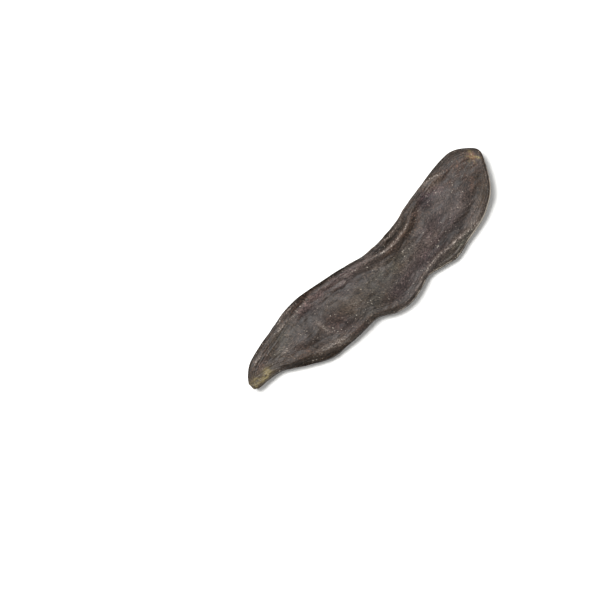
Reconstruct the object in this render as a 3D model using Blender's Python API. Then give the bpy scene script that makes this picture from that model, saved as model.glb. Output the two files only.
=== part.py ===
"""A dried carob pod, lying on one of its broad sides.

The pod is one closed skin. A plain tube is cut into rings, and each of its points is carried onto the skin by
skin_point(), from how far along the pod and how far round the section it lies. X runs from the stem end to the
blossom end, Y across the broad side and Z up. Sizes and tables are in millimetres, and the finished mesh is in
metres.
"""

import math

import bmesh
import bpy
import numpy as np
from mathutils import Euler, Vector, noise

MM = 0.001

# Driving sizes
LENGTH = 150.0
HALF_THICKNESS = 4.4

# Seen from above: place along the pod, then the two seams on either side of a straight line from end to end
SEAMS = (
    (-75.0, 2.2, -1.6),
    (-73.0, 4.8, -3.0),
    (-68.0, 8.5, -3.8),
    (-60.0, 10.7, -5.9),
    (-50.0, 12.3, -12.3),
    (-40.0, 13.8, -18.2),
    (-30.0, 13.6, -19.4),
    (-20.0, 11.6, -20.0),
    (-12.0, 9.8, -20.5),
    (-4.0, 7.7, -24.9),
    (4.0, 5.6, -26.4),
    (12.0, 4.9, -25.1),
    (18.5, 5.1, -23.8),
    (26.0, 5.8, -25.8),
    (33.0, 7.3, -27.4),
    (42.0, 8.5, -25.6),
    (54.0, 10.1, -23.2),
    (62.0, 10.4, -19.4),
    (69.0, 9.6, -14.0),
    (75.0, 7.2, -7.0),
)

# The blossom end is rounded off over this length, down to a short blunt point; the stem end is a hollow scar
TIP_ROUNDING = 12.0
TIP_BLUNTNESS = 0.7
TIP_POINT = 0.15
SCAR_DEPTH = 0.3

# Half of the thickness along the pod, as a share of the full half thickness
THICKNESS = (
    (-75, 0.36), (-71, 0.58), (-62, 0.8), (-45, 0.98), (-15, 0.95), (18, 0.9), (40, 1.0), (62, 0.86), (75, 0.5),
)

# Height of the middle of the section along the pod, and the slope of the section from seam to seam
RISE = ((-75, 2.6), (-60, 0.6), (-42, 0.0), (-10, 2.2), (12, 2.5), (36, 0.2), (55, 1.0), (75, 5.6))
LEAN = ((-75, 0.04), (-45, -0.02), (-16, 0.04), (14, 0.12), (38, 0.0), (58, -0.04), (75, -0.09))

# The seams wander up and down a little, each in its own waves
SEAM_WAVE = 0.5
UPPER_WAVE_LENGTH = 37.0
LOWER_WAVE_LENGTH = 29.0

# The small turns in degrees that bring the pod to rest, and how far its lowest places are pressed flat
REST_PITCH = 0.13
REST_ROLL = 0.42
PRESSED_FLAT = 0.8

# A rib runs along each side of each seam, where the rounded side meets the broad face. Its distance from the edge
# is given for the upper face, seam by seam, and for both seams of the under face.
UPPER_RIB = (
    (-75, 1.5), (-50, 2.6), (-15, 2.0), (-7, 2.5), (2, 3.8), (11, 5.6), (20, 6.8), (29, 5.9), (36, 3.2), (43, 1.8),
    (56, 5.0), (75, 4.0),
)
LOWER_RIB = (
    (-75, 1.5), (-58, 3.4), (-45, 6.0), (-32, 4.6), (-12, 3.0), (10, 2.2), (18, 3.0), (28, 6.4), (37, 6.2),
    (46, 3.4), (60, 3.2), (75, 3.0),
)
UNDER_RIB = ((-75, 1.2), (-40, 2.6), (0, 1.8), (40, 2.4), (75, 1.5))
RIB_HEIGHT = 0.7
RIB_WIDTH = 1.4
WIDEST_RIB = 0.45

# Height of the upper face's ribs along the pod, as a share of the full height
UPPER_RIB_SHARE = (
    (-75, 0.3), (-45, 0.35), (-15, 0.4), (2, 0.9), (20, 1.1), (32, 0.8), (45, 0.4), (60, 0.3), (75, 0.2),
)
LOWER_RIB_SHARE = (
    (-75, 0.4), (-58, 0.6), (-40, 1.0), (-28, 0.9), (-15, 0.3), (8, 0.5), (22, 0.8), (38, 1.0), (58, 0.8), (75, 0.3),
)

# The side of each seam is grooved between its two ribs; place and width are shares of the half thickness
GROOVE_DEPTH = 1.1
GROOVE_MIDDLE = 0.08
GROOVE_WIDTH = 0.4

# How far the broad faces have sunk between the seams
UPPER_SINK = ((-75, 0.1), (-40, 0.0), (-8, 0.2), (16, 0.6), (32, 0.5), (46, 0.25), (60, 0.35), (75, 0.2))
UNDER_SINK = 1.3
SINK_WIDTH = 0.62

# A long valley runs inside each rib: its distance from the rib, its width, and its depth along the pod
VALLEY_IN = 4.2
VALLEY_WIDTH = 2.8
UPPER_VALLEY = ((-75, 0.1), (-45, 0.5), (-20, 0.45), (10, 0.3), (30, 0.5), (60, 0.2), (75, 0.0))
LOWER_VALLEY = ((-75, 0.0), (-40, 0.1), (-5, 0.2), (14, 0.5), (28, 0.8), (50, 0.7), (64, 0.35), (75, 0.1))

# The seeds lie in one row and swell both faces
SEEDS = 10
FIRST_SEED = -54.0
SEED_PITCH = 12.2
SEED_SWELL = 0.55
SEED_LENGTH = 4.6
SEED_WIDTH = 6.0

# Hollows and swellings of the upper face: middle along and across, half length, half width, turn in degrees, height
HOLLOWS = (
    (-33.0, 3.5, 6.0, 3.2, 25, -0.8),
    (-26.0, -8.5, 8.0, 4.2, -12, -0.9),
    (-41.0, -3.0, 5.0, 3.0, 55, 0.5),
    (-16.0, -3.0, 9.0, 3.0, -8, 0.4),
    (-55.0, 2.0, 6.0, 2.6, 20, -0.4),
    (2.0, -12.0, 9.0, 5.0, -10, 0.35),
    (14.0, -9.0, 9.0, 4.0, 0, -0.5),
    (42.0, 1.5, 7.0, 4.2, 15, -0.8),
    (31.0, -7.0, 7.0, 3.5, 8, 0.3),
    (54.0, -8.0, 6.0, 3.5, 35, 0.4),
)

# Broad waves left by drying
WAVE_LENGTH = 15.0
WAVE_WIDTH = 10.0
WAVE_HEIGHT = 0.75

# The ribs, valleys and waves fade out where the pod is narrower than this, half across
FADE_WIDTH = 9.0

# The section is a boxy ellipse: the exponent of its broad faces, and the limits of the one at its seams
FACE_FLATNESS = 2.6
BOXIEST = 8.0
ROUNDEST = 2.3
RIB_LEVEL = 0.9

# The mesh: points round a section, rings along the pod, and how far the rings close up at the ends and the points
# at the seams of a section of usual size
AROUND = 44
RINGS = 124
END_CLOSENESS = 0.6
SEAM_CLOSENESS = 0.8
USUAL_HALF_WIDTH = 15.0
USUAL_BOX = 4.5

SKIN_COLOUR = (0.105, 0.086, 0.078, 1.0)
SKIN_ROUGHNESS = 0.6


def slope(rows, k, column):
    """Slope of a table's curve at one of its rows, from the rows on either side."""
    before = rows[max(k - 1, 0)]
    after = rows[min(k + 1, len(rows) - 1)]
    return (after[column] - before[column]) / (after[0] - before[0])


def along(rows, x, column=1):
    """Value at x of a smooth curve through the rows of a table."""
    k = 0
    while k < len(rows) - 2 and x > rows[k + 1][0]:
        k += 1
    span = rows[k + 1][0] - rows[k][0]
    u = (x - rows[k][0]) / span
    start = rows[k][column] * (2 * u**3 - 3 * u**2 + 1)
    end = rows[k + 1][column] * (3 * u**2 - 2 * u**3)
    leaving = slope(rows, k, column) * span * (u**3 - 2 * u**2 + u)
    arriving = slope(rows, k + 1, column) * span * (u**3 - u**2)
    return start + leaving + end + arriving


def bump(distance, width):
    """A rise with a height of 1 that dies away a little past its width."""
    return math.exp(-((distance / width) ** 2))


def past(value, edge, softness):
    """A soft step from 0 to 1 where the value passes the edge."""
    return 1 / (1 + math.exp((edge - value) / softness))


def signed_power(value, exponent):
    """A power that keeps the sign, which makes a circle's cosine and sine boxy."""
    return math.copysign(abs(value) ** exponent, value)


def seed_swell(x):
    """Height along the pod of the swellings over its seeds, some plumper than others."""
    total = 0.0
    for k in range(SEEDS):
        plumpness = 0.75 + 0.25 * math.sin(2.4 * k)
        total += SEED_SWELL * plumpness * bump(x - FIRST_SEED - k * SEED_PITCH, SEED_LENGTH)
    return total


def ring_at(share):
    """The sizes of the section at a share of the length."""
    even = 1 - 2 * share
    closing = math.cos(math.pi * share)
    x = -0.5 * LENGTH * (END_CLOSENESS * closing + (1 - END_CLOSENESS) * even)
    x = min(x, 0.5 * LENGTH - TIP_POINT)
    to_tip = min((0.5 * LENGTH - x) / TIP_ROUNDING, 1.0)
    tip = math.sqrt(1 - (1 - to_tip) ** 2)
    upper = along(SEAMS, x, 1)
    lower = along(SEAMS, x, 2)
    half_width = 0.5 * (upper - lower) * tip
    return {
        "x": x,
        "middle": 0.5 * (upper + lower),
        "half_width": half_width,
        "half_thickness": HALF_THICKNESS * along(THICKNESS, x) * tip**TIP_BLUNTNESS,
        "rise": along(RISE, x),
        "lean": along(LEAN, x),
        "upper_rib": min(along(UPPER_RIB, x), WIDEST_RIB * half_width),
        "lower_rib": min(along(LOWER_RIB, x), WIDEST_RIB * half_width),
        "under_rib": min(along(UNDER_RIB, x), WIDEST_RIB * half_width),
        "upper_share": along(UPPER_RIB_SHARE, x),
        "lower_share": along(LOWER_RIB_SHARE, x),
        "upper_valley": along(UPPER_VALLEY, x),
        "lower_valley": along(LOWER_VALLEY, x),
        "upper_sink": along(UPPER_SINK, x),
        "seeds": seed_swell(x),
        "fade": min(half_width / FADE_WIDTH, 1.0) * tip**2,
    }


def boxiness(rib, half_width):
    """The section's exponent that brings its rounded side up to the broad face at the rib."""
    at_rib = math.log(1 - RIB_LEVEL**FACE_FLATNESS) / math.log(1 - rib / half_width)
    return max(ROUNDEST, min(at_rib, BOXIEST))


def skin_point(ring, turn):
    """A point of the skin at an angle round the section."""
    side = math.cos(turn)
    face = math.sin(turn)
    if face < 0:
        rib = ring["under_rib"]
    elif side > 0:
        rib = ring["upper_rib"]
    else:
        rib = ring["lower_rib"]
    box = boxiness(rib, ring["half_width"])
    v = signed_power(side, 2 / box)
    w = signed_power(face, 2 / FACE_FLATNESS)
    out_y = signed_power(v, box - 1) / ring["half_width"]
    out_z = signed_power(w, FACE_FLATNESS - 1) / ring["half_thickness"]
    out = math.hypot(out_y, out_z)
    raised = ring["fade"] * (seam_relief(ring, v, w, rib) + face_relief(ring, v, w, rib))
    across = v * ring["half_width"] + raised * out_y / out
    height = w * ring["half_thickness"] + raised * out_z / out
    y = ring["middle"] + across
    z = ring["rise"] + ring["lean"] * across + seam_wander(ring["x"], v) + height
    return Vector((ring["x"], y, z))


def seam_wander(x, v):
    """How far a seam's waves lift the skin beside it."""
    wave_length = UPPER_WAVE_LENGTH if v > 0 else LOWER_WAVE_LENGTH
    return SEAM_WAVE * abs(v) ** 3 * math.sin(2 * math.pi * x / wave_length)


def seam_relief(ring, v, w, rib):
    """The ribs on each side of a seam, and the groove between them."""
    from_edge = (1 - abs(v)) * ring["half_width"]
    on_side = 1 - past(from_edge, 0.8 * rib, 0.25)
    groove = GROOVE_DEPTH * bump(w - GROOVE_MIDDLE, GROOVE_WIDTH) * on_side
    share = ring["upper_share"] if v > 0 else ring["lower_share"]
    if w < 0:
        share = 1.0
    return RIB_HEIGHT * share * bump(from_edge - rib, RIB_WIDTH) - groove


def face_relief(ring, v, w, rib):
    """The sunken middle, valleys, seed swellings, hollows and waves of the broad faces."""
    x = ring["x"]
    across = v * ring["half_width"]
    from_edge = ring["half_width"] - abs(across)
    sink = ring["upper_sink"] if w > 0 else UNDER_SINK
    valley = ring["upper_valley"] if v > 0 else ring["lower_valley"]
    raised = ring["seeds"] * bump(across, SEED_WIDTH) - sink * bump(v, SINK_WIDTH)
    raised -= valley * bump(from_edge - rib - VALLEY_IN, VALLEY_WIDTH)
    if w > 0:
        raised += sum(hollow(x, ring["middle"] + across, *row) for row in HOLLOWS)
    face = math.copysign(2.0, w)
    raised += WAVE_HEIGHT * noise.noise(Vector((x / WAVE_LENGTH, across / WAVE_WIDTH, face)))
    return raised * past(from_edge, 1.2 * rib, 0.5)


def hollow(x, y, middle_x, middle_y, half_length, half_width, turn, height):
    """One hollow or swelling, an ellipse turned in the plane of the face."""
    c = math.cos(math.radians(turn))
    s = math.sin(math.radians(turn))
    lengthwise = c * (x - middle_x) + s * (y - middle_y)
    crosswise = c * (y - middle_y) - s * (x - middle_x)
    return height * bump(lengthwise, half_length) * bump(crosswise, half_width)


def section_turns(count):
    """Angles that space points evenly round a usual section, closer together at the seams."""
    turns = np.linspace(0, 2 * math.pi, 4001)
    v = np.array([signed_power(math.cos(a), 2 / USUAL_BOX) for a in turns])
    w = np.array([signed_power(math.sin(a), 2 / FACE_FLATNESS) for a in turns])
    steps = np.hypot(np.diff(v) * USUAL_HALF_WIDTH, np.diff(w) * HALF_THICKNESS)
    steps *= 1 + SEAM_CLOSENESS * np.abs(v[1:]) ** 6
    run = np.concatenate(([0], np.cumsum(steps)))
    return np.interp(np.arange(count) / count * run[-1], run, turns)


def tube(bm):
    """A closed tube along Z from -0.5 to 0.5, cut into rings, with a middle point in each end."""
    bmesh.ops.create_cone(bm, cap_ends=True, segments=AROUND, radius1=1, radius2=1, depth=1)
    lengthwise = [e for e in bm.edges if abs(e.verts[0].co.z - e.verts[1].co.z) > 0.5]
    bmesh.ops.subdivide_edges(bm, edges=lengthwise, cuts=RINGS - 1)
    bmesh.ops.poke(bm, faces=[f for f in bm.faces if len(f.verts) > 4])


def carry_onto_skin(bm):
    """Moves the tube's points to the pod's skin."""
    turns = section_turns(AROUND)
    rings = [ring_at(i / RINGS) for i in range(RINGS + 1)]
    for vert in bm.verts:
        ring = rings[round((vert.co.z + 0.5) * RINGS)]
        if vert.co.xy.length > 0.5:
            share = math.atan2(vert.co.y, vert.co.x) / (2 * math.pi)
            vert.co = skin_point(ring, turns[round(share * AROUND) % AROUND])
        else:
            inset = TIP_POINT if vert.co.z > 0 else SCAR_DEPTH
            vert.co = Vector((ring["x"] + inset, ring["middle"], ring["rise"]))


def lay_down(bm):
    """Brings the pod to rest on z = 0, pressed flat where it touches, with its box centred over the origin."""
    turn = Euler((math.radians(REST_ROLL), math.radians(REST_PITCH), 0)).to_matrix()
    bmesh.ops.rotate(bm, cent=(0, 0, 0), matrix=turn, verts=bm.verts)
    low = [min(v.co[i] for v in bm.verts) for i in range(3)]
    high = [max(v.co[i] for v in bm.verts) for i in range(3)]
    to_origin = (-0.5 * (low[0] + high[0]), -0.5 * (low[1] + high[1]), -low[2] - PRESSED_FLAT)
    bmesh.ops.translate(bm, vec=to_origin, verts=bm.verts)
    for vert in bm.verts:
        vert.co.z = max(vert.co.z, 0.0)


def clear_scene():
    for thing in list(bpy.data.objects):
        bpy.data.objects.remove(thing)


def skin_material():
    """Dry leathery skin, dark brown-grey and almost matte."""
    material = bpy.data.materials.new("pod_skin")
    material.use_nodes = True
    shader = material.node_tree.nodes["Principled BSDF"]
    shader.inputs["Base Color"].default_value = SKIN_COLOUR
    shader.inputs["Roughness"].default_value = SKIN_ROUGHNESS
    shader.inputs["Metallic"].default_value = 0.0
    return material


def pod():
    """The whole fruit."""
    bm = bmesh.new()
    tube(bm)
    carry_onto_skin(bm)
    lay_down(bm)
    bmesh.ops.scale(bm, vec=(MM, MM, MM), verts=bm.verts)
    bmesh.ops.recalc_face_normals(bm, faces=bm.faces)
    mesh = bpy.data.meshes.new("pod")
    bm.to_mesh(mesh)
    bm.free()
    mesh.shade_smooth()
    mesh.materials.append(skin_material())
    bpy.context.collection.objects.link(bpy.data.objects.new("pod", mesh))


clear_scene()
pod()
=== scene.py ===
"""A dried carob pod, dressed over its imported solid: the wrinkles of its skin, its colours and a plain studio.

Tables of the pod's own shape are in millimetres, in the pod's straight frame: X from the stem end to the
blossom end, Y across the broad side and Z up, before the small turn that lays it down. Meshes are in metres.
"""

import math

import bmesh
import bpy
import numpy as np
from mathutils import Euler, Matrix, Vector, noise


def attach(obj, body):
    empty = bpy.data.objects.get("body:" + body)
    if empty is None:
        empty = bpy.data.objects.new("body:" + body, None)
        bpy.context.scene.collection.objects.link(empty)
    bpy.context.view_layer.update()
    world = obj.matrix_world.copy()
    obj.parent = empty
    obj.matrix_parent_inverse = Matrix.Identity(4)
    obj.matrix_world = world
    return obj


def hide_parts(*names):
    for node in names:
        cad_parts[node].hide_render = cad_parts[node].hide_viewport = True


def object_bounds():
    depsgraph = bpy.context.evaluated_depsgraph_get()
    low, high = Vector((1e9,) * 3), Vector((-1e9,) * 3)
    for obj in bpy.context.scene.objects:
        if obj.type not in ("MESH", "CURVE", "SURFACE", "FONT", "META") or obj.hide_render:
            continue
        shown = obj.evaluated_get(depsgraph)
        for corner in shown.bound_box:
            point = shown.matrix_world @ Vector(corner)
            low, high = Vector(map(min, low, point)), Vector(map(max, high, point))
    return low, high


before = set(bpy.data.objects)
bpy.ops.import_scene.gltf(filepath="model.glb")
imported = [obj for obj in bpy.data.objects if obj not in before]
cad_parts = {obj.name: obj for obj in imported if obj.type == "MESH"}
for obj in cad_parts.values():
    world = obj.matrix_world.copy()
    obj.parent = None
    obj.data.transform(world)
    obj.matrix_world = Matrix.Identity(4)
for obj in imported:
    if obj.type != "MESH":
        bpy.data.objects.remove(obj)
cad_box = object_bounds()


# The studio: a camera straight above the pod, a white floor, one broad soft lamp beyond the pod's upper
# seam, and a white surround that fills the shadows. Lengths are in metres, and the pod's angle in the
# picture in degrees.
VIEW_WIDTH = 0.2748
EYE_HEIGHT = 0.9
EYE_OVER = (-0.031, 0.0185)
POD_ANGLE = 46.11
SENSOR = 36.0
FLOOR_HALF = 3.0
LAMP_PLACE = (-0.06, 0.3, 0.8)
LAMP_SIZE = 0.3
LAMP_POWER = 10.5
SURROUND = 0.5


def linear(hex_colour):
    """A colour written as sRGB hex, made linear."""
    channels = [int(hex_colour[i : i + 2], 16) / 255 for i in (1, 3, 5)]
    return tuple(c / 12.92 if c <= 0.04045 else ((c + 0.055) / 1.055) ** 2.4 for c in channels) + (1.0,)


camera = bpy.data.objects.new("camera", bpy.data.cameras.new("camera"))
camera.location = (*EYE_OVER, EYE_HEIGHT)
camera.rotation_euler = (0, 0, math.radians(-POD_ANGLE))
camera.data.sensor_width = SENSOR
camera.data.lens = SENSOR * (EYE_HEIGHT - cad_box[1].z / 2) / VIEW_WIDTH
bpy.context.collection.objects.link(camera)
bpy.context.scene.camera = camera
bpy.context.scene.view_settings.view_transform = "Standard"

lamp = bpy.data.objects.new("lamp", bpy.data.lights.new("lamp", "AREA"))
lamp.data.energy = LAMP_POWER
lamp.data.size = LAMP_SIZE
lamp.location = LAMP_PLACE
lamp.rotation_euler = (-lamp.location).to_track_quat("-Z", "Y").to_euler()
bpy.context.collection.objects.link(lamp)

surround = bpy.data.worlds.new("surround")
surround.use_nodes = True
surround.node_tree.nodes["Background"].inputs["Color"].default_value = (1, 1, 1, 1)
surround.node_tree.nodes["Background"].inputs["Strength"].default_value = SURROUND
bpy.context.scene.world = surround

# Matte white card, which shows only the soft shadow of the pod
white_card = bpy.data.materials.new("white_card")
white_card.use_nodes = True
card_shader = white_card.node_tree.nodes["Principled BSDF"]
card_shader.inputs["Base Color"].default_value = linear("#f4f4f2")
card_shader.inputs["Roughness"].default_value = 0.9
card_shader.inputs["Specular IOR Level"].default_value = 0.1

bm = bmesh.new()
bmesh.ops.create_grid(bm, x_segments=1, y_segments=1, size=FLOOR_HALF)
floor_mesh = bpy.data.meshes.new("floor")
bm.to_mesh(floor_mesh)
bm.free()
floor_mesh.materials.append(white_card)
floor = bpy.data.objects.new("floor", floor_mesh)
bpy.context.collection.objects.link(floor)

# The pod: one ripe fruit of the carob tree, dried whole. Two tough seams run down its edges, each with a rib
# on either side of a groove, and the leathery faces between them have shrunk down onto the row of seeds.
MM = 0.001
LENGTH = 150.0
HALF_THICKNESS = 4.4

# Place along the pod, then the two seams on either side of a straight line from end to end
SEAMS = (
    (-75.0, 2.2, -1.6),
    (-73.0, 4.8, -3.0),
    (-68.0, 8.5, -3.8),
    (-60.0, 10.7, -5.9),
    (-50.0, 12.3, -12.3),
    (-40.0, 13.8, -18.2),
    (-30.0, 13.6, -19.4),
    (-20.0, 11.6, -20.0),
    (-12.0, 9.8, -20.5),
    (-4.0, 7.7, -24.9),
    (4.0, 5.6, -26.4),
    (12.0, 4.9, -25.1),
    (18.5, 5.1, -23.8),
    (26.0, 5.8, -25.8),
    (33.0, 7.3, -27.4),
    (42.0, 8.5, -25.6),
    (54.0, 10.1, -23.2),
    (62.0, 10.4, -19.4),
    (69.0, 9.6, -14.0),
    (75.0, 7.2, -7.0),
)

# The blossom end is rounded off over this length, down to a short blunt point
TIP_ROUNDING = 12.0
TIP_BLUNTNESS = 0.7
TIP_POINT = 0.15

# Half of the thickness along the pod, as a share of the full half thickness
THICKNESS = (
    (-75, 0.36), (-71, 0.58), (-62, 0.8), (-45, 0.98), (-15, 0.95), (18, 0.9), (40, 1.0), (62, 0.86),
    (75, 0.5),
)

# Height of the middle of the section along the pod, and the slope of the section from seam to seam
RISE = ((-75, 2.6), (-60, 0.6), (-42, 0.0), (-10, 2.2), (12, 2.5), (36, 0.2), (55, 1.0), (75, 5.6))
LEAN = ((-75, 0.04), (-45, -0.02), (-16, 0.04), (14, 0.12), (38, 0.0), (58, -0.04), (75, -0.09))
SEAM_WAVE = 0.5
UPPER_WAVE_LENGTH = 37.0
LOWER_WAVE_LENGTH = 29.0

# The turns in degrees that bring the pod to rest, and where its middle then lies
REST_PITCH = 0.13
REST_ROLL = 0.42
REST_PLACE = (-0.01, 6.73, 4.12)

# Distance of each rib from the edge, seam by seam on the upper face, and for both seams of the under face
UPPER_RIB = (
    (-75, 1.5), (-50, 2.6), (-15, 2.0), (-7, 2.5), (2, 3.8), (11, 5.6), (20, 6.8), (29, 5.9), (36, 3.2),
    (43, 1.8), (56, 5.0), (75, 4.0),
)
LOWER_RIB = (
    (-75, 1.5), (-58, 3.4), (-45, 6.0), (-32, 4.6), (-12, 3.0), (10, 2.2), (18, 3.0), (28, 6.4), (37, 6.2),
    (46, 3.4), (60, 3.2), (75, 3.0),
)
UNDER_RIB = ((-75, 1.2), (-40, 2.6), (0, 1.8), (40, 2.4), (75, 1.5))

# No rib stands further in than this share of the half width
WIDEST_RIB = 0.45

# The section is a boxy ellipse, boxier where its ribs stand close to the edge, at a share of its height
FACE_FLATNESS = 2.6
BOXIEST = 8.0
ROUNDEST = 2.3
RIB_LEVEL = 0.9

# The mesh is fine enough for wrinkles 1 mm across, with its rings closer together towards the ends. The
# points of each ring are spaced as they are on a usual section, closer together at the seams.
AROUND = 240
RINGS = 400
END_RINGS = 6
END_CLOSENESS = 0.6
SEAM_CLOSENESS = 0.8
USUAL_HALF_WIDTH = 15.0
USUAL_BOX = 4.5
SEAM_SHARPNESS = 6
USUAL_STEPS = 4000


def along(rows, x, column=1):
    """A smooth curve through the rows of a table, read at each x."""
    at = np.array([row[0] for row in rows], float)
    value = np.array([row[column] for row in rows], float)
    order = np.arange(len(at))
    behind = np.maximum(order - 1, 0)
    ahead = np.minimum(order + 1, len(at) - 1)
    slope = (value[ahead] - value[behind]) / (at[ahead] - at[behind])
    k = np.clip(np.searchsorted(at, x) - 1, 0, len(at) - 2)
    span = at[k + 1] - at[k]
    u = (x - at[k]) / span
    start = value[k] * (2 * u**3 - 3 * u**2 + 1)
    end = value[k + 1] * (3 * u**2 - 2 * u**3)
    leaving = slope[k] * span * (u**3 - 2 * u**2 + u)
    arriving = slope[k + 1] * span * (u**3 - u**2)
    return start + leaving + end + arriving


def signed_power(value, exponent):
    """A power that keeps the sign."""
    return np.copysign(np.abs(value) ** exponent, value)


def section_turns(count):
    """Angles that space points evenly round a usual section, closer together at the seams."""
    turns = np.linspace(0, 2 * math.pi, USUAL_STEPS + 1)
    v = signed_power(np.cos(turns), 2 / USUAL_BOX)
    w = signed_power(np.sin(turns), 2 / FACE_FLATNESS)
    steps = np.hypot(np.diff(v) * USUAL_HALF_WIDTH, np.diff(w) * HALF_THICKNESS)
    steps *= 1 + SEAM_CLOSENESS * np.abs(v[1:]) ** SEAM_SHARPNESS
    run = np.concatenate(([0], np.cumsum(steps)))
    return np.interp(np.arange(count) / count * run[-1], run, turns)


# A plain closed tube, cut into rings along its length, with more rings inside each end
bm = bmesh.new()
bmesh.ops.create_cone(bm, cap_ends=True, segments=AROUND, radius1=1, radius2=1, depth=1)
lengthwise = [e for e in bm.edges if abs(e.verts[0].co.z - e.verts[1].co.z) > 0.5]
bmesh.ops.subdivide_edges(bm, edges=lengthwise, cuts=RINGS - 1)
ends = [f for f in bm.faces if len(f.verts) > 4]
for _ in range(END_RINGS - 1):
    bmesh.ops.inset_individual(bm, faces=ends, thickness=1 / END_RINGS)
bmesh.ops.poke(bm, faces=ends)

# Each point of the tube is a place on the skin: how far along, how far round, and how far out on an end
tube = np.array([v.co for v in bm.verts])
out = np.clip(np.hypot(tube[:, 0], tube[:, 1]), 0, 1)
share = np.round((tube[:, 2] + 0.5) * RINGS) / RINGS
turn = np.arctan2(tube[:, 1], tube[:, 0]) / (2 * math.pi) * AROUND
turn = section_turns(AROUND)[np.round(turn).astype(int) % AROUND]

# The section at each point
x = -0.5 * LENGTH * (END_CLOSENESS * np.cos(math.pi * share) + (1 - END_CLOSENESS) * (1 - 2 * share))
x = np.minimum(x, 0.5 * LENGTH - TIP_POINT)
to_tip = np.minimum((0.5 * LENGTH - x) / TIP_ROUNDING, 1.0)
tip = np.sqrt(1 - (1 - to_tip) ** 2)
middle = 0.5 * (along(SEAMS, x, 1) + along(SEAMS, x, 2))
half_width = 0.5 * (along(SEAMS, x, 1) - along(SEAMS, x, 2)) * tip
half_thickness = HALF_THICKNESS * along(THICKNESS, x) * tip**TIP_BLUNTNESS
rise = along(RISE, x)

# The place round the section: v from seam to seam, w from the under face to the upper one
side = np.cos(turn)
face = np.sin(turn)
rib = np.where(side > 0, along(UPPER_RIB, x), along(LOWER_RIB, x))
rib = np.where(face < 0, along(UNDER_RIB, x), rib)
rib = np.minimum(rib, WIDEST_RIB * half_width)
box = np.log(1 - RIB_LEVEL**FACE_FLATNESS) / np.log(1 - rib / half_width)
box = np.clip(box, ROUNDEST, BOXIEST)
v = signed_power(side, 2 / box)
w = signed_power(face, 2 / FACE_FLATNESS)
out_y = signed_power(v, box - 1) / half_width
out_z = signed_power(w, FACE_FLATNESS - 1) / half_thickness
steepness = np.hypot(out_y, out_z)
across = v * half_width
from_edge = half_width - np.abs(across)
y = middle + across
upper = w > 0

# The form that the solid has too. A rib stands on either side of each seam, with a groove between them whose
# place and width are shares of the half thickness.
RIB_HEIGHT = 0.7
RIB_WIDTH = 1.4
GROOVE_DEPTH = 1.1
GROOVE_MIDDLE = 0.08
GROOVE_WIDTH = 0.4

# Height of the upper face's ribs along the pod, as a share of the full height
UPPER_RIB_SHARE = (
    (-75, 0.3), (-45, 0.35), (-15, 0.4), (2, 0.9), (20, 1.1), (32, 0.8), (45, 0.4), (60, 0.3), (75, 0.2),
)
LOWER_RIB_SHARE = (
    (-75, 0.4), (-58, 0.6), (-40, 1.0), (-28, 0.9), (-15, 0.3), (8, 0.5), (22, 0.8), (38, 1.0), (58, 0.8),
    (75, 0.3),
)

# The sides of the pod end, and its faces begin, at these shares of a rib's distance from the edge
SIDE_SHARE = 0.8
SIDE_SOFTNESS = 0.25
FACE_SHARE = 1.2
FACE_SOFTNESS = 0.5

# How far the broad faces have sunk between the seams, and the long valley that runs inside each rib
UPPER_SINK = ((-75, 0.1), (-40, 0.0), (-8, 0.2), (16, 0.6), (32, 0.5), (46, 0.25), (60, 0.35), (75, 0.2))
UNDER_SINK = 1.3
SINK_WIDTH = 0.62

VALLEY_IN = 4.2
VALLEY_WIDTH = 2.8
UPPER_VALLEY = ((-75, 0.1), (-45, 0.5), (-20, 0.45), (10, 0.3), (30, 0.5), (60, 0.2), (75, 0.0))
LOWER_VALLEY = ((-75, 0.0), (-40, 0.1), (-5, 0.2), (14, 0.5), (28, 0.8), (50, 0.7), (64, 0.35), (75, 0.1))

# The seeds lie in one row and swell both faces, by more or less from one to the next
SEEDS = 10
FIRST_SEED = -54.0
SEED_PITCH = 12.2
SEED_SWELL = 0.55
SEED_EVENNESS = 0.75
SEED_CYCLE = 2.4
SEED_LENGTH = 4.6
SEED_WIDTH = 6.0

# Hollows and swells of the upper face: middle along, across, half length, half width, degrees of turn, height
HOLLOWS = (
    (-33, 3.5, 6, 3.2, 25, -0.8),
    (-26, -8.5, 8, 4.2, -12, -0.9),
    (-41, -3, 5, 3, 55, 0.5),
    (-16, -3, 9, 3, -8, 0.4),
    (-55, 2, 6, 2.6, 20, -0.4),
    (2, -12, 9, 5, -10, 0.35),
    (14, -9, 9, 4, 0, -0.5),
    (42, 1.5, 7, 4.2, 15, -0.8),
    (31, -7, 7, 3.5, 8, 0.3),
    (54, -8, 6, 3.5, 35, 0.4),
)

# Broad waves left by drying. All relief fades out where the pod is narrower than this half width.
WAVE_LENGTH = 15.0
WAVE_WIDTH = 10.0
WAVE_HEIGHT = 0.75
FADE_WIDTH = 9.0


def bump(distance, width):
    """A rise with a height of 1 that dies away a little past its width."""
    return np.exp(-((distance / width) ** 2))


def past(value, edge, softness):
    """A soft step from 0 to 1 where the value passes the edge."""
    return 1 / (1 + np.exp(np.clip((edge - value) / softness, -60, 60)))


def rough(x, y, z):
    """Smooth noise from about -1 to 1 at each place, with swells one unit apart. z may pick one layer."""
    return np.array([noise.noise(place) for place in zip(x, y, np.broadcast_to(z, len(x)))])


def patch(x, y, middle_x, middle_y, half_length, half_width, turn):
    """1 in the middle of an ellipse turned in the plane of the face, dying away past its rim."""
    c = math.cos(math.radians(turn))
    s = math.sin(math.radians(turn))
    lengthwise = c * (x - middle_x) + s * (y - middle_y)
    crosswise = c * (y - middle_y) - s * (x - middle_x)
    return bump(lengthwise, half_length) * bump(crosswise, half_width)


def patches(x, y, rows):
    """Every patch of a table at its strength."""
    return sum(row[-1] * patch(x, y, *row[:-1]) for row in rows)


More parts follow.
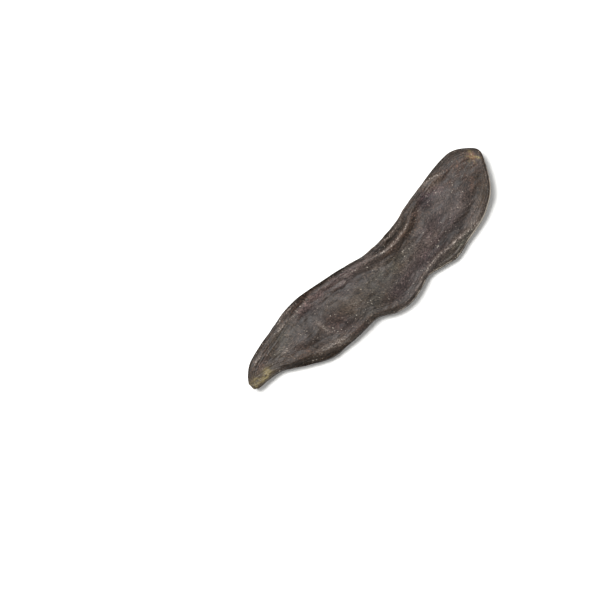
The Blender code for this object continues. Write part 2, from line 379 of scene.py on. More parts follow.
def seed_swell(x):
    """Height along the pod of the swellings over its seeds, some plumper than others."""
    swell = 0
    for k in range(SEEDS):
        plumpness = SEED_EVENNESS + (1 - SEED_EVENNESS) * math.sin(SEED_CYCLE * k)
        swell = swell + SEED_SWELL * plumpness * bump(x - FIRST_SEED - k * SEED_PITCH, SEED_LENGTH)
    return swell


fade = np.minimum(half_width / FADE_WIDTH, 1.0) * tip**2
on_side = 1 - past(from_edge, SIDE_SHARE * rib, SIDE_SOFTNESS)
on_face = past(from_edge, FACE_SHARE * rib, FACE_SOFTNESS)
in_groove = bump(w - GROOVE_MIDDLE, GROOVE_WIDTH) * on_side
on_rib = bump(from_edge - rib, RIB_WIDTH)
rib_share = np.where(side > 0, along(UPPER_RIB_SHARE, x), along(LOWER_RIB_SHARE, x))
rib_share = np.where(upper, rib_share, 1.0)
sink = np.where(upper, along(UPPER_SINK, x), UNDER_SINK)
valley = np.where(side > 0, along(UPPER_VALLEY, x), along(LOWER_VALLEY, x))
belly = seed_swell(x) * bump(across, SEED_WIDTH) - sink * bump(v, SINK_WIDTH)
belly = belly - valley * bump(from_edge - rib - VALLEY_IN, VALLEY_WIDTH)
belly = belly + upper * patches(x, y, HOLLOWS)
belly = belly + WAVE_HEIGHT * rough(x / WAVE_LENGTH, across / WAVE_WIDTH, np.copysign(2.0, w))
form = fade * (RIB_HEIGHT * rib_share * on_rib - GROOVE_DEPTH * in_groove + belly * on_face)

# Folds and creases of the upper face: height, half width, then the places that each one runs through. They
# wander from there a little.
FOLDS = (
    (0.45, 0.8, ((-6, 5.2), (2, 2.9), (7, 0.5), (12, -1), (19, -1.5), (25, -0.4), (31, 2))),
    (-0.35, 0.8, ((-2, 1.6), (5, -1.2), (12, -3.6), (18, -4.4), (25, -3.4), (32, -1.4), (40, -0.6))),
    (0.3, 0.7, ((4, 4), (11, 3), (18, 2.6), (25, 3.6), (32, 5.6), (38, 7))),
    (-0.35, 0.6, ((8, 1.6), (14, 1), (20, 1), (26, 2.2), (32, 4))),
    (0.3, 0.6, ((42, 8), (48, 7.8), (52, 7), (56, 5.2))),
    (0.5, 0.8, ((8, -24.4), (12, -22.8), (17, -20.9), (23, -20), (29, -19.8), (35, -20.6), (41, -21))),
    (0.4, 0.7, ((35, -20.6), (41, -21), (48, -22.5), (55, -22))),
    (0.2, 0.6, ((22, -23), (28, -24), (34, -24.6), (41, -24), (47, -23.4))),
    (-0.15, 2, ((64, -11), (57, -13.6), (50, -16.2), (44, -17.2), (36, -17.4), (28, -17.8), (18, -18.2))),
    (-0.15, 1, ((60, -15), (54, -17.8), (47, -19.2), (40, -18.6))),
    (0.25, 0.9, ((62, -14), (56, -16.4), (50, -18), (45, -18.4))),
    (-0.15, 1.1, ((30, -6), (38, -7.6), (46, -10.4), (54, -13))),
    (-0.13, 1.1, ((46, -3), (52, -4.6), (58, -6.8), (64, -7.6))),
    (0.25, 1, ((48, 3.4), (54, 1), (60, -2.6), (66, -5))),
    (0.35, 1.1, ((-46, 6), (-38, 8.2), (-30, 8.6), (-22, 8.4), (-14, 7.2), (-5, 5.2))),
    (-0.22, 1.1, ((-39, 1), (-38.5, 4.2), (-35.5, 6.4), (-31.5, 5.6), (-28.5, 2.8), (-27, 0.2))),
    (-0.15, 0.9, ((-36.5, 1.6), (-34.5, 3.6), (-32, 3.2), (-30.6, 1))),
    (0.3, 0.8, ((-33.5, -1), (-33.2, -4), (-32.4, -7))),
    (0.35, 1.3, ((-50, -6.6), (-44, -8.8), (-38, -11.2), (-33, -13.8), (-28, -16.6), (-23, -17.8))),
    (-0.3, 0.9, ((-47, -4), (-43, -6), (-37, -8.2), (-31, -10.8))),
    (-0.35, 0.8, ((-64, -3.6), (-58, -6), (-52, -8.6), (-46, -11.4), (-40, -15), (-34, -17.4))),
    (0.1, 0.8, ((-24, -4), (-17, -6.6), (-9, -8), (0, -9.4))),
    (0.35, 1.1, ((34, 1.6), (40, 4.4), (48, 5.4), (56, 4), (64, 2.4))),
    (0.28, 0.9, ((-44, 5.8), (-36, 7.2), (-30, 6.8), (-25, 5), (-20, 3.2))),
    (0.22, 0.9, ((-27, 8), (-20, 5.4), (-13.7, 3), (-8, 1.6))),
    (0.12, 1.2, ((-25, 7.4), (-20, 2.6), (-16, -3.4), (-13.6, -9))),
    (0.15, 1.1, ((-17, 6.4), (-12.6, 2), (-9, -3.6), (-7.4, -8))),
    (-0.15, 0.9, ((-21, 6.8), (-16.4, 2.2), (-12.4, -3.6), (-10.6, -8.4))),
    (-0.2, 1, ((-29.6, -3), (-27, -7.4), (-24, -12), (-21, -15))),
    (0.15, 1, ((38, 1), (44, -3), (49, -8), (52, -12))),
    (0.12, 0.9, ((46, 5), (51, 0.6), (55, -4.6), (57, -9))),
    (-0.25, 0.9, ((-22, 3.6), (-14, 1.8), (-5, 1.2), (4, -3.4), (12, -7.2), (20, -9.6))),
    (-0.2, 0.7, ((-68, 5.2), (-60, 6.4), (-52, 7), (-45, 9.2), (-37, 10.6))),
    (0.2, 0.7, ((-56, 0.4), (-50, 0.6), (-44, 2.2))),
)
FOLD_WANDER = 0.7
WANDER_LENGTH = 4.0

# How steeply a crease falls from its crest, and the share of its length where a stroke's ends stop thinning
CREST_STEEPNESS = 2.5
BLUNT_END = 0.04

# A face's own relief is full from this share of the half thickness on
FACE_TURN = 0.35

# How far the fine wrinkles are swept aside as they flow round swellings, and how close a fold draws them
FLOW_LENGTH = 14.0
FLOW_WIDTH = 9.0
SWEPT_ALONG = 3.0
SWEPT_ACROSS = 2.0
GATHERED = 0.5

# Creases of each kind: the length and width of one, how far across they run while they shift by one length,
# their height, and the share of it that lies below the skin
UNDER_FOLDS = (17.0, 6.0, 25.0, 0.45, 0.35)
PUCKERS = (6.0, 2.6, 9.0, 0.15, 0.4)
CRIMPS = (2.8, 1.5, 5.0, 0.06, 0.4)
LONG_WRINKLES = (13.0, 1.3, math.inf, 0.3, 0.5)
SIDE_FIBRES = (9.0, 1 / 3, math.inf, 0.2, 0.4)

# Rounder swells: the length and width of one, and their height
SOFT_WRINKLES = (6.0, 2.6, 0.18)
SMALL_WRINKLES = (4.0, 1.6, 0.09)
GRAIN = (1.1, 0.9, 0.03)
CRUST = (1.7, 1.1, 0.2)

# The long wrinkles lie in a band beside each seam, which reaches this far past the rib, and they drift across
# it where the skin turns over the edge. The fibres of a seam's side end below its upper lip.
BAND_SHARE = 1.3
BAND_PAST_RIB = 2.5
BAND_SOFTNESS = 1.0
WRINKLE_DRIFT = 0.52
FIBRE_TOP = 0.7
FIBRE_TOP_SOFTNESS = 0.06

# The upper lip of each groove juts out over the under one. It is full along the lower seam from the pod's
# waist on, and low along the upper seam. Levels and widths are shares of the half thickness.
LIP_LEVEL = 0.45
UPPER_LIP_WIDTH = 0.2
UNDER_LIP_WIDTH = 0.35
LIP_JUT = 0.3
LIP_SHRINK = 0.5
LIP_START = -6.0
LIP_START_SOFTNESS = 2.0
UPPER_SEAM_LIP = 0.35

# A thin sharp rim stands on the upper lip, broken here and there: its distance in from the outline, and its
# breaks as swells
RIM_IN = 0.45
RIM_WIDTH = 0.4
RIM_HEIGHT = 0.35
RIM_LEVEL = 0.3
RIM_EVENNESS = 0.8
RIM_BREAKS = (2.2, 2.0, 0.6)
LEVEL_SOFTNESS = 0.05


def creased(x, y, z):
    """Noise with sharp crests one unit apart, from 0 to 1."""
    return 1 - np.minimum(np.abs(rough(x, y, z)) * CREST_STEEPNESS, 1)


def creases(x, y, kind, layer):
    """Relief of one kind of creases."""
    length, width, slant, height, below = kind
    return height * (creased(x / length + y / slant, y / width, layer) - below)


def swells(x, y, kind, layer):
    """Relief of one kind of rounder swells."""
    length, width, height = kind
    return height * rough(x / length, y / width, layer)


def stroke(x, y, half_width, places):
    """1 on a line through the places, dying away at its sides and thinning towards its two ends."""
    lengths = [math.dist(a, b) for a, b in zip(places, places[1:])]
    nearest = np.full(len(x), np.inf)
    run = np.zeros(len(x))
    done = 0.0
    for (ax, ay), (bx, by), length in zip(places, places[1:], lengths):
        dx = (bx - ax) / length
        dy = (by - ay) / length
        t = np.clip((x - ax) * dx + (y - ay) * dy, 0, length)
        distance = np.hypot(x - ax - t * dx, y - ay - t * dy)
        run = np.where(distance < nearest, done + t, run)
        nearest = np.minimum(nearest, distance)
        done += length
    taper = np.sin(math.pi * np.clip(run / done, BLUNT_END, 1 - BLUNT_END)) ** 0.5
    return bump(nearest, half_width) * taper


def strokes(x, y, rows):
    """Every stroke of a table at its strength."""
    return sum(strength * stroke(x, y, half_width, places) for strength, half_width, places in rows)


# The finer relief, which the solid hasn't got: folds, then soft wrinkles over the belly, long ones beside the
# seams, leathery grain, crust on the ribs and fibres along the seams' sides. The last term of each noise
# picks its layer, and with sided in it each face has its own.
facing = np.clip(w / FACE_TURN, 0, 1)
facing_down = np.clip(-w / FACE_TURN, 0, 1)
wander_x = x + FOLD_WANDER * rough(x / WANDER_LENGTH, y / WANDER_LENGTH, 11.0)
wander_y = y + FOLD_WANDER * rough(x / WANDER_LENGTH, y / WANDER_LENGTH, 17.0)
folds = facing * strokes(wander_x, wander_y, FOLDS)
folds = folds + creases(wander_x, wander_y, UNDER_FOLDS, 61.0) * facing_down * on_face
sided = np.copysign(5.0, w)
flow_x = x + SWEPT_ALONG * rough(x / FLOW_LENGTH, y / FLOW_WIDTH, sided + 40)
flow_y = y + SWEPT_ACROSS * rough(x / FLOW_LENGTH, y / FLOW_WIDTH, sided + 50) + GATHERED * folds
on_belly = swells(flow_x, flow_y, SOFT_WRINKLES, sided) + swells(flow_x, flow_y, SMALL_WRINKLES, sided + 3)
on_belly = on_belly + creases(flow_x, flow_y, PUCKERS, sided + 9)
on_belly = on_belly + creases(flow_x, flow_y, CRIMPS, sided + 13)
in_band = 1 - past(from_edge, BAND_SHARE * rib + BAND_PAST_RIB, BAND_SOFTNESS)
long_wrinkles = creases(x, from_edge + WRINKLE_DRIFT * w, LONG_WRINKLES, np.copysign(8.0, side) + w)
crust = np.abs(swells(x, from_edge, CRUST, w * 3.0 + 20))
below_lip = 1 - past(w, FIBRE_TOP, FIBRE_TOP_SOFTNESS)
side_fibres = creases(x, w, SIDE_FIBRES, np.copysign(21.0, side)) * on_side * below_lip
fine = in_band * long_wrinkles + on_face * on_belly + swells(flow_x, flow_y, GRAIN, w * 4.0)
fine = fine + crust * on_rib + side_fibres
lip_share = np.where(side < 0, past(x, LIP_START, LIP_START_SOFTNESS), UPPER_SEAM_LIP)
upper_lip = LIP_JUT * bump(w - LIP_LEVEL, UPPER_LIP_WIDTH) * lip_share
under_lip = -LIP_SHRINK * bump(w + LIP_LEVEL, UNDER_LIP_WIDTH)
raised = form + fade * (folds + fine + (upper_lip + under_lip) * on_side)

# The rim, which follows the outline seen from above
ring = np.round(share * RINGS).astype(int)
seam = (side > 0).astype(int)
reach = np.abs(across + raised * out_y / steepness)
outline = np.zeros((2, RINGS + 1))
np.maximum.at(outline, (seam, ring), reach)
in_from_outline = outline[seam, ring] - reach
rim = bump(in_from_outline - RIM_IN, RIM_WIDTH) * past(w, RIM_LEVEL, LEVEL_SOFTNESS)
rim = rim * lip_share * (RIM_EVENNESS + swells(x, from_edge, RIM_BREAKS, np.copysign(27.0, side)))

# The end faces: a hollow scar of broken fibres where the stem was, and a blunt point at the blossom end. The
# fibres are swells across the scar and through its height, and die away at its rim.
SCAR_DEPTH = 0.3
SCAR_FIBRES = (0.7, 0.25, 0.18)
SCAR_RIM = 0.25
at_stem = share < 0.5
ending = np.where(at_stem, 1 - out, 0)
fibres = swells(across * out, w * out, SCAR_FIBRES, 31.0) * np.minimum(ending / SCAR_RIM, 1)
end_depth = np.where(at_stem, SCAR_DEPTH * (1 - out**3) + fibres, TIP_POINT * (1 - out**2))

# The straight pod, and then the pod laid down: turned a little, set in place and pressed flat where it rests.
# Its highest crests are eased down over TOP_EASING, so that they keep to the solid's height.
TOP_EASING = 0.25
wave_length = np.where(v > 0, UPPER_WAVE_LENGTH, LOWER_WAVE_LENGTH)
seam_wave = SEAM_WAVE * np.abs(v) ** 3 * np.sin(2 * math.pi * x / wave_length)
skin_y = out * (across + raised * out_y / steepness)
skin_z = out * (w * half_thickness + raised * out_z / steepness + seam_wave + RIM_HEIGHT * fade * rim)
places = np.column_stack((x + end_depth, middle + skin_y, rise + along(LEAN, x) * skin_y + skin_z))
turned = places @ np.array(Euler((math.radians(REST_ROLL), math.radians(REST_PITCH), 0)).to_matrix()).T
laid = turned + REST_PLACE
laid[:, 2] -= TOP_EASING * np.log1p(np.exp((laid[:, 2] - cad_box[1].z / MM) / TOP_EASING))
laid = np.clip(laid * MM, cad_box[0], cad_box[1])
for vert, place in zip(bm.verts, laid):
    vert.co = place
bmesh.ops.recalc_face_normals(bm, faces=bm.faces)
skin = bpy.data.meshes.new("pod_skin")
bm.to_mesh(skin)
bm.free()
skin.shade_smooth()

# Where the colours lie. Streaks of pale dust on the upper face, and broad faint ones of painted light:
# strength, half width, and the places that each runs through.
DUST_AND_PAINTED_LIGHT = (
    (0.9, 0.7, ((7, 0.8), (12, -0.8), (19, -1.4), (25, -0.4), (30, 1.8))),
    (0.6, 0.5, ((10, 3.2), (18, 2.7), (24, 3.6), (29, 5))),
    (1, 0.45, ((43, 7.8), (50, 7.4), (55.5, 5.4))),
    (0.9, 0.4, ((-47, 11.6), (-41, 12.4), (-35, 12.3))),
    (0.8, 0.8, ((-54.5, 0.2), (-49.5, 0.4))),
    (0.6, 0.8, ((-51, 8.6), (-46, 9.6), (-41, 9.6))),
    (0.6, 0.6, ((-69.5, 6), (-65, 7), (-60, 7))),
    (0.4, 1.8, ((-46, -8.6), (-38, -12), (-30, -15.8), (-24, -18))),
    (0.7, 1, ((-32.4, 0.4), (-33, -2.4), (-32.2, -5.6), (-32.8, -9))),
    (0.6, 1, ((9, -23.8), (12, -22.6), (17, -20.8), (23, -20), (29, -19.8), (35, -20.4), (41, -20.9))),
    (0.7, 1, ((34, -20.4), (41, -20.9), (48, -22.3), (55, -21.8))),
    (0.2, 2.2, ((59, -18), (52, -20.6), (45, -21))),
    (0.4, 3.2, ((-20.5, -5.6), (-15, -7.4), (-10, -8.6))),
    (0.4, 1.5, ((-16, 5.6), (-7, 4), (2, 1.8))),
    (0.35, 1.4, ((1, -2), (7, -3.8))),
    (0.3, 3, ((23, -12), (29, -12.4), (36, -10.4))),
    (0.3, 2.4, ((43.5, -10), (54, -11.6))),
    (0.35, 1.6, ((43, 4.2), (54, 5.2))),
    (0.35, 1.8, ((-35, -13.8), (-31.5, -15), (-28.5, -16))),
)

# Tints of the upper face: middle along and across, half length, half width, turn in degrees, strength
PURPLE = (
    (41.5, 2.4, 4.5, 3.2, 20, 1),
    (48, 1, 5, 4, -10, 0.5),
    (38, -10, 16, 6, 0, 0.4),
    (22, -17, 14, 4, 0, 0.4),
    (-29, 7.6, 11, 3.4, -4, 0.5),
    (-9, 5, 9, 2.5, -10, 0.5),
    (-13, 1, 6, 3.5, 0, 0.4),
    (2, -18, 9, 4, 0, 0.4),
    (-25.5, -9, 7, 4, -55, 0.6),
)
GREEN = (
    (4, -8, 12, 6, 0, 0.7),
    (20, -8, 8, 4, 0, 0.4),
    (-50, 5, 11, 4, 15, 0.6),
    (-10, -15, 9, 4, 0, 0.5),
    (-16, -6.6, 6, 3.4, 5, 0.6),
    (36, -23.4, 12, 2.2, 5, 1),
)
RUSTY = (
    (62, -6.5, 6, 4, 40, 0.6),
    (69.5, 0, 4, 5.5, 0, 0.6),
    (60, 4, 8, 4, 0, 0.5),
    (60, -1.5, 7, 4, 0, 0.4),
    (-25.5, -9, 6.5, 3.2, -55, 0.35),
    (-46, -6, 5.5, 2.6, -30, 0.6),
    (-20, -15.5, 5, 2, -8, 0.5),
    (20, -2.5, 13, 2.4, 3, 0.6),
    (36, 0.5, 6, 2.2, 10, 0.4),
    (-64, 4.4, 7, 2.4, 20, 0.7),
    (-35, 11.4, 16, 1.6, 0, 0.4),
)

# Painted light and shade of the upper face, with some of the skin's own lighter and darker places, in the same
# columns
TONES_AND_PAINTED_SHADING = (
    (17, -11, 10, 4, 0, 0.95),
    (-25, 8.2, 9, 1.4, -4, 0.5),
    (-53, 1, 11, 4.5, 10, 0.22),
    (45, -4, 12, 8, 0, 0.14),
    (48, 1.5, 3, 2.2, -20, 0.35),
    (41.5, 2.4, 3.4, 2.6, 20, -0.35),
    (60, -1.5, 6.5, 4, 0, -0.5),
    (62, 6.5, 8, 3, 0, -0.35),
    (-13, 0, 7, 4.5, 0, -0.15),
    (-33, 3.5, 5, 3, 0, -0.25),
    (34, -23.6, 12, 2.4, 2, 0.7),
    (54, -18.6, 9, 2.4, 18, 0.75),
    (4, 1.8, 9, 1, -26, 0.4),
    (19, -1.2, 9, 1, 2, 0.3),
    (-41, -3, 6, 3, 0, -0.15),
    (-14, -13, 7, 3, 0, -0.2),
    (38, -16.8, 16, 1.6, 0, -0.2),
    (-16.5, -6.8, 5.5, 3.4, 10, 0.6),
    (-31.5, 6.8, 3.5, 2.6, 0, 0.3),
    (-7, 4, 7, 1.6, -18, 0.45),
    (3.5, -2.8, 3.5, 1.6, -20, 0.4),
    (29.5, -11.8, 5, 3, 5, 0.4),
    (48.5, -10.6, 4.5, 2.6, 10, 0.4),
    (48.5, 5, 4.5, 1.6, 5, 0.4),
)

# The worn stem end, olive and tan, and the blossom's scar
WORN = (
    (-74.4, 0.2, 1.6, 2.4, 0, 0.9),
    (-71, 1, 2, 1.6, 0, 0.8),
    (-69, -1.6, 4.5, 1.3, -6, 0.8),
    (-65.2, -0.2, 2.4, 2.1, 4, 1),
)
BLOSSOM_SCAR = (
    (0.7, 0.9, ((70.2, 0.8), (71, 2.4), (71.6, 4.2))),
    (1, 0.8, ((70.4, 0.6), (71.6, -0.8), (72.6, -2.6))),
    (0.5, 0.7, ((70.2, 0.8), (68.6, 0.2), (67, -0.2))),
    (0.6, 0.6, ((70.2, 0.8), (69, 2), (68.2, 3.4))),
    (0.5, 0.6, ((70.4, 0.4), (69.6, -1.2), (69, -3))),
)
SCAR_MIDDLE = ((70.4, 0.7, 1.9, 2.4, 0, 1),)

# Painted shade in creases and on slopes of the upper face: strength, half width, and the places that each runs
# through
PAINTED_SHADE = (
    (0.35, 1.1, ((-3, 1), (5, -1.6), (12, -3.8), (18, -4.6), (25, -3.6), (32, -1.8), (40, -0.8))),
    (0.5, 0.9, ((6, 2.8), (12, 1.4), (20, 1.2), (26, 2.4), (32, 4.4))),
    (0.4, 0.8, ((4, 5), (12, 4.2), (20, 4.2), (28, 5.2))),
    (0.3, 1.6, ((64, -11), (57, -13.8), (50, -16.4), (44, -17.2), (36, -17.4), (28, -17.8), (18, -18.2))),
    (0.7, 1.8, ((-62, -5.4), (-50, -11), (-40, -16.2), (-30, -18.4), (-18, -19.4), (-12, -19.6))),
    (0.4, 1, ((-39, 1), (-38.5, 4.2), (-35.5, 6.2), (-31.5, 5.4), (-28.5, 2.8))),
    (1, 1.2, ((-42, 11), (-34, 11.7), (-26, 11.5), (-17, 10), (-8, 7.9), (0, 6))),
    (0.6, 0.6, ((-74, 4.4), (-68, 8.2), (-58, 10.6), (-46, 13), (-34, 13.6), (-20, 11.6))),
    (0.5, 1.4, ((-60, -3.6), (-52, -7), (-46, -10))),
    (0.4, 2.2, ((38, 3.6), (42, 1.6), (45, -2))),
    (0.4, 1.6, ((70, -4), (66, -8.4), (60, -12))),
    (0.8, 1.8, ((-48, -7.6), (-42, -9.2), (-35, -11.2))),
    (0.8, 1.8, ((-30, -10.8), (-24, -11.8), (-17, -12.2))),
    (0.5, 1.4, ((37, 0.2), (40, -0.4), (43, -0.8))),
    (0.55, 1.4, ((17, -17.2), (26, -17.4))),
)

# The upper face's colours are full from this share of the half thickness on
FACE_COLOUR_TURN = 0.3

# The brown side of a seam: its level and width as shares of the half thickness, and the half width up to
# which a narrow end goes without it
SIDE_LEVEL = -0.25
SIDE_WIDTH = 0.4
NARROW_END = 4.0
SIDE_RUST = 0.3

# Painted shade in the grooves, and on the margin outside the upper rib
GROOVE_SHADE = 0.5
MARGIN_SHADE = 0.25
MARGIN_SHARE = 0.6
MARGIN_SOFTNESS = 0.6

# A painted highlight runs along the lower seam's edge round the blossom end: from where to where, and how wide
# and high up
EDGE_START = 40.0
EDGE_START_SOFTNESS = 3.0
EDGE_END = 73.4
EDGE_END_SOFTNESS = 0.3
EDGE_WIDTH = 0.35
EDGE_LEVEL = 0.2
# The rim's painted highlight lies only above the upper lip's level, with this softness
RIM_HIGHLIGHT_SOFTNESS = 0.03

# An attribute holds 0 to 1, so what can be more or less than usual starts halfway
HALFWAY = 0.5

upper_face = np.clip(w / FACE_COLOUR_TURN, 0, 1)
spots = (wander_x, wander_y)
seam_side = bump(w - SIDE_LEVEL, SIDE_WIDTH) * on_side * np.clip(half_width / NARROW_END, 0, 1)
upper_margin = (1 - past(from_edge, MARGIN_SHARE * rib, MARGIN_SOFTNESS)) * (side > 0)
edge_highlight = bump(in_from_outline - RIM_IN, EDGE_WIDTH) * past(w, EDGE_LEVEL, LEVEL_SOFTNESS) * (side < 0)
edge_highlight = edge_highlight * past(x, EDGE_START, EDGE_START_SOFTNESS) * (1 - past(x, EDGE_END, EDGE_END_SOFTNESS))
# Painted shade in the grooves and on the upper margin
groove_and_margin_shade = GROOVE_SHADE * in_groove + MARGIN_SHADE * upper_margin
marks = {
    # A painted highlight along the rim's crest
    "rim": rim * past(w, LIP_LEVEL, RIM_HIGHLIGHT_SOFTNESS),
    "edge": edge_highlight,
    "seam": seam_side,
    # Pale dust, and broad faint painted light
    "dust_and_painted_light": upper_face * strokes(*spots, DUST_AND_PAINTED_LIGHT),
    # Painted shade: in creases and on slopes, in the grooves and on the upper margin
    "dark": upper_face * strokes(*spots, PAINTED_SHADE) + groove_and_margin_shade,
    "purple": upper_face * patches(*spots, PURPLE),
    "green": upper_face * patches(*spots, GREEN),
    "rust": upper_face * patches(*spots, RUSTY) + SIDE_RUST * seam_side,
    "worn": upper_face * patches(*spots, WORN) + ending,
    # Painted light and shade, with some of the skin's own tone
    "tone_and_painted_shading": HALFWAY + upper_face * patches(*spots, TONES_AND_PAINTED_SHADING),
    "scar": upper_face * strokes(*spots, BLOSSOM_SCAR),
    "scar_middle": upper_face * patches(*spots, SCAR_MIDDLE),
    # Painted shade in the hollows of the fine relief and painted light on its crests, where some dust lies too
    "relief": HALFWAY + fade * (folds + fine),
}
for name, amount in marks.items():
    values = np.clip(amount, 0, 1).astype(np.float32)
    skin.attributes.new(name, "FLOAT", "POINT").data.foreach_set("value", values)
flow = np.column_stack((flow_x, flow_y - y + skin_y, skin_z)).astype(np.float32)
skin.attributes.new("flow", "FLOAT_VECTOR", "POINT").data.foreach_set("vector", flow.ravel())

# Dried fruit leather: matte and brown-grey with a faint sheen, mottled in patches a few millimetres across,
# with painted shade in its creases, and paler with dust and painted light where it stands up. The attribute
# "flow" is the place on the straight pod in millimetres, swept aside as the wrinkles are, so that streaks and
# fibres run with them.
LEATHER = "#2a2119"
LEATHER_IOR = 1.45
LEATHER_GLOSS = 0.36
PAINTED_SHADE_GLOSS = 0.05
SMOOTHEST = 0.47
ROUGHEST = 0.65
PIT_DEPTH = 0.1 * MM
PIT_STRENGTH = 0.7
FIBRE_DEPTH = 0.14 * MM
FIBRE_STRENGTH = 0.6


def add(tree, kind, inputs=None, **settings):
    """Adds a node with its settings. An input is a value, a socket, or a node for its first live output."""
    made = tree.nodes.new(kind)
    for name, value in settings.items():
        setattr(made, name, value)
    for name, value in (inputs or {}).items():
        live = [s for s in made.inputs if s.enabled]
        socket = live[name] if isinstance(name, int) else next(s for s in live if s.name == name)
        if isinstance(value, bpy.types.Node):
            value = next(s for s in value.outputs if s.enabled)
        if isinstance(value, bpy.types.NodeSocket):
            tree.links.new(value, socket)
        else:
            socket.default_value = value
    return made


leather = bpy.data.materials.new("dried_fruit_leather")
leather.use_nodes = True
tree = leather.node_tree
shader = tree.nodes["Principled BSDF"]
place = add(tree, "ShaderNodeAttribute", attribute_name="flow").outputs["Vector"]
layers = {name: add(tree, "ShaderNodeAttribute", attribute_name=name).outputs["Fac"] for name in marks}

# Noises: length and width of a swell in millimetres, the turn of its length in degrees, detail and roughness
NOISES = {
    "clouds": (17.0, 9.0, 0, 2.0, 0.5),
    "streaks": (6.0, 2.0, -35, 3.0, 0.6),
    "mottle": (4.6, 3.2, 0, 3.0, 0.6),
    "blots": (1.9, 1.4, -35, 2.0, 0.6),
    "speckle": (0.8, 0.7, 0, 1.0, 0.5),
    "sparks": (0.5, 0.5, 0, 0.0, 0.5),
    "fibres": (7.0, 0.8, 0, 3.0, 0.5),
    "pits": (0.6, 0.5, 0, 3.0, 0.6),
}
for name, (length, width, turned_by, detail, roughness) in NOISES.items():
    stretch = {"Vector": place, "Rotation": (0, 0, math.radians(turned_by)), "Scale": (length, width, width)}
    stretched = add(tree, "ShaderNodeMapping", stretch, vector_type="TEXTURE")
    noise_inputs = {"Vector": stretched, "Scale": 1.0, "Detail": detail, "Roughness": roughness}
    layers[name] = add(tree, "ShaderNodeTexNoise", noise_inputs)

# Specks of chaff and dried pulp, ragged, one to a cell and only where the cell's random value is high
FLECK_CELL = 0.8
cells = add(tree, "ShaderNodeVectorMath", {0: place, 1: [FLECK_CELL] * 3}, operation="DIVIDE")
ragged = add(tree, "ShaderNodeVectorMath", {0: cells, 1: layers["sparks"].outputs["Color"]}, operation="ADD")
flecks = add(tree, "ShaderNodeTexVoronoi", {"Vector": ragged, "Scale": 1.0}, feature="F1")
layers["near_fleck"] = flecks.outputs["Distance"]
fleck_colour = add(tree, "ShaderNodeSeparateColor", {"Color": flecks.outputs["Color"]})
layers["fleck_chance"] = fleck_colour.outputs["Red"]

# Tints under the dust: colour, then the layers whose product is its amount, each with the values where it
# sets in and where it is full
TINTS = (
    ("#28211d", ("clouds", 0.4, 0.6)),
    ("#292822", ("green", 0.0, 1.0), ("mottle", 0.3, 0.6)),
    ("#2f2427", ("purple", 0.0, 1.0), ("mottle", 0.1, 0.6)),
    ("#3c2a21", ("rust", 0.0, 1.0), ("mottle", 0.35, 0.65)),
    ("#56412f", ("seam", 0.1, 0.9), ("fibres", 0.45, 0.65)),
)

# Lighter and darker: a layer, the two values that it runs between, and the shade at each
SHADES = (
    ("clouds", 0.3, 0.7, 0.85, 1.1),
    ("streaks", 0.3, 0.7, 0.84, 1.17),
    ("mottle", 0.25, 0.75, 0.83, 1.18),
    ("blots", 0.25, 0.75, 0.78, 1.25),
    ("speckle", 0.25, 0.75, 0.3, 1.8),
    ("sparks", 0.52, 0.72, 1.0, 2.1),
    # The last three rows paint light and shade: darker in hollows, creases and on some slopes, lighter on
    # crests and other slopes, with some dust and some of the skin's own tone in them
    ("relief", 0.2, 0.8, 0.68, 1.27),
    ("tone_and_painted_shading", 0.0, 1.0, 0.5, 1.5),
    ("dark", 0.0, 1.0, 1.0, 0.4),
)

# What lies on the skin: pale dust with painted light, painted highlights on the rim and on the lower seam's
# edge, the worn stem end, the blossom's scar and the flecks
COVERS = (
    ("#5b5049", ("dust_and_painted_light", 0.0, 1.0), ("speckle", 0.3, 0.6)),
    ("#9d9389", ("dust_and_painted_light", 0.2, 0.7), ("near_fleck", 0.5, 0.25), ("blots", 0.42, 0.56)),
    # Painted highlight on the rim
    ("#80776c", ("rim", 0.35, 0.7), ("mottle", 0.32, 0.52), ("speckle", 0.2, 0.5)),
    # Painted highlight along the lower seam's edge
    ("#999186", ("edge", 0.3, 0.8), ("mottle", 0.25, 0.45)),
    ("#574c33", ("worn", 0.0, 0.9), ("blots", 0.3, 0.55)),
    ("#82754c", ("worn", 0.4, 1.0), ("blots", 0.38, 0.62), ("speckle", 0.3, 0.65)),
    ("#66573a", ("scar", 0.1, 0.9), ("speckle", 0.25, 0.6)),
    ("#8a7c4c", ("scar", 0.4, 0.9), ("sparks", 0.45, 0.65)),
    ("#5d3a2a", ("scar_middle", 0.2, 0.9), ("speckle", 0.3, 0.6)),
    ("#a0978b", ("near_fleck", 0.36, 0.16), ("fleck_chance", 0.8, 0.95), ("mottle", 0.42, 0.58)),
)


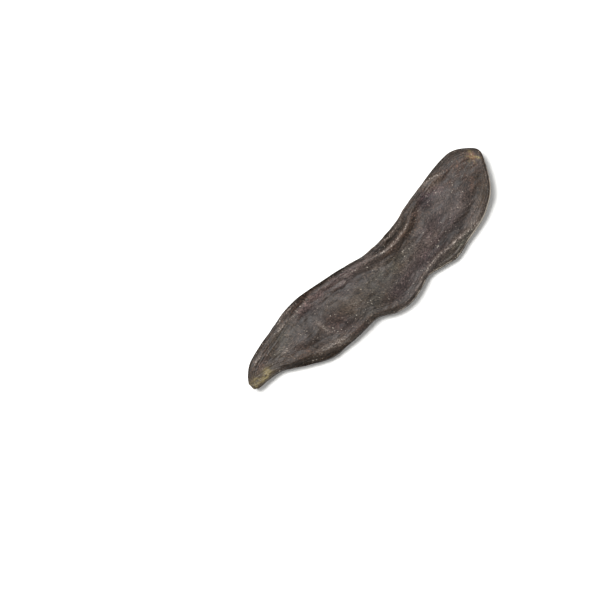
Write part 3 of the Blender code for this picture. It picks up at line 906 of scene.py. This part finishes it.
def covered(colour, rows):
    """Lays each row's colour over the one before by the product of its layers."""
    for over, *parts in rows:
        amount = None
        for name, low, high in parts:
            part = add(tree, "ShaderNodeMapRange", {"Value": layers[name], "From Min": low, "From Max": high})
            if amount:
                part = add(tree, "ShaderNodeMath", {0: amount, 1: part}, operation="MULTIPLY")
            amount = part
        colour = add(tree, "ShaderNodeMix", {0: amount, 1: colour, 2: linear(over)}, data_type="RGBA")
    return colour


colour = covered(linear(LEATHER), TINTS)
for name, low, high, dark, light in SHADES:
    span = {"Value": layers[name], "From Min": low, "From Max": high, "To Min": dark, "To Max": light}
    shade = add(tree, "ShaderNodeMapRange", span)
    colour = add(tree, "ShaderNodeVectorMath", {0: colour, "Scale": shade}, operation="SCALE")
colour = covered(colour, COVERS)

# Rougher in some spots than in others, and with hardly any gloss where shade is painted, so that it stays dark
spotted = {"Value": layers["mottle"], "From Min": 0.3, "From Max": 0.7}
sheen = add(tree, "ShaderNodeMapRange", {**spotted, "To Min": SMOOTHEST, "To Max": ROUGHEST})
shade_dimmed = {"Value": layers["dark"], "To Min": LEATHER_GLOSS, "To Max": PAINTED_SHADE_GLOSS}
gloss = add(tree, "ShaderNodeMapRange", shade_dimmed)
pores = {"Height": layers["pits"], "Strength": PIT_STRENGTH, "Distance": PIT_DEPTH}
pits = add(tree, "ShaderNodeBump", pores)
ridges = {"Height": layers["fibres"], "Strength": FIBRE_STRENGTH, "Distance": FIBRE_DEPTH, "Normal": pits}
fibres = add(tree, "ShaderNodeBump", ridges)
tree.links.new(next(s for s in colour.outputs if s.enabled), shader.inputs["Base Color"])
tree.links.new(sheen.outputs["Result"], shader.inputs["Roughness"])
tree.links.new(gloss.outputs["Result"], shader.inputs["Specular IOR Level"])
tree.links.new(fibres.outputs["Normal"], shader.inputs["Normal"])
shader.inputs["IOR"].default_value = LEATHER_IOR

skin.materials.append(leather)
pod = bpy.data.objects.new("pod_skin", skin)
bpy.context.collection.objects.link(pod)
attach(pod, "root")
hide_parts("pod")
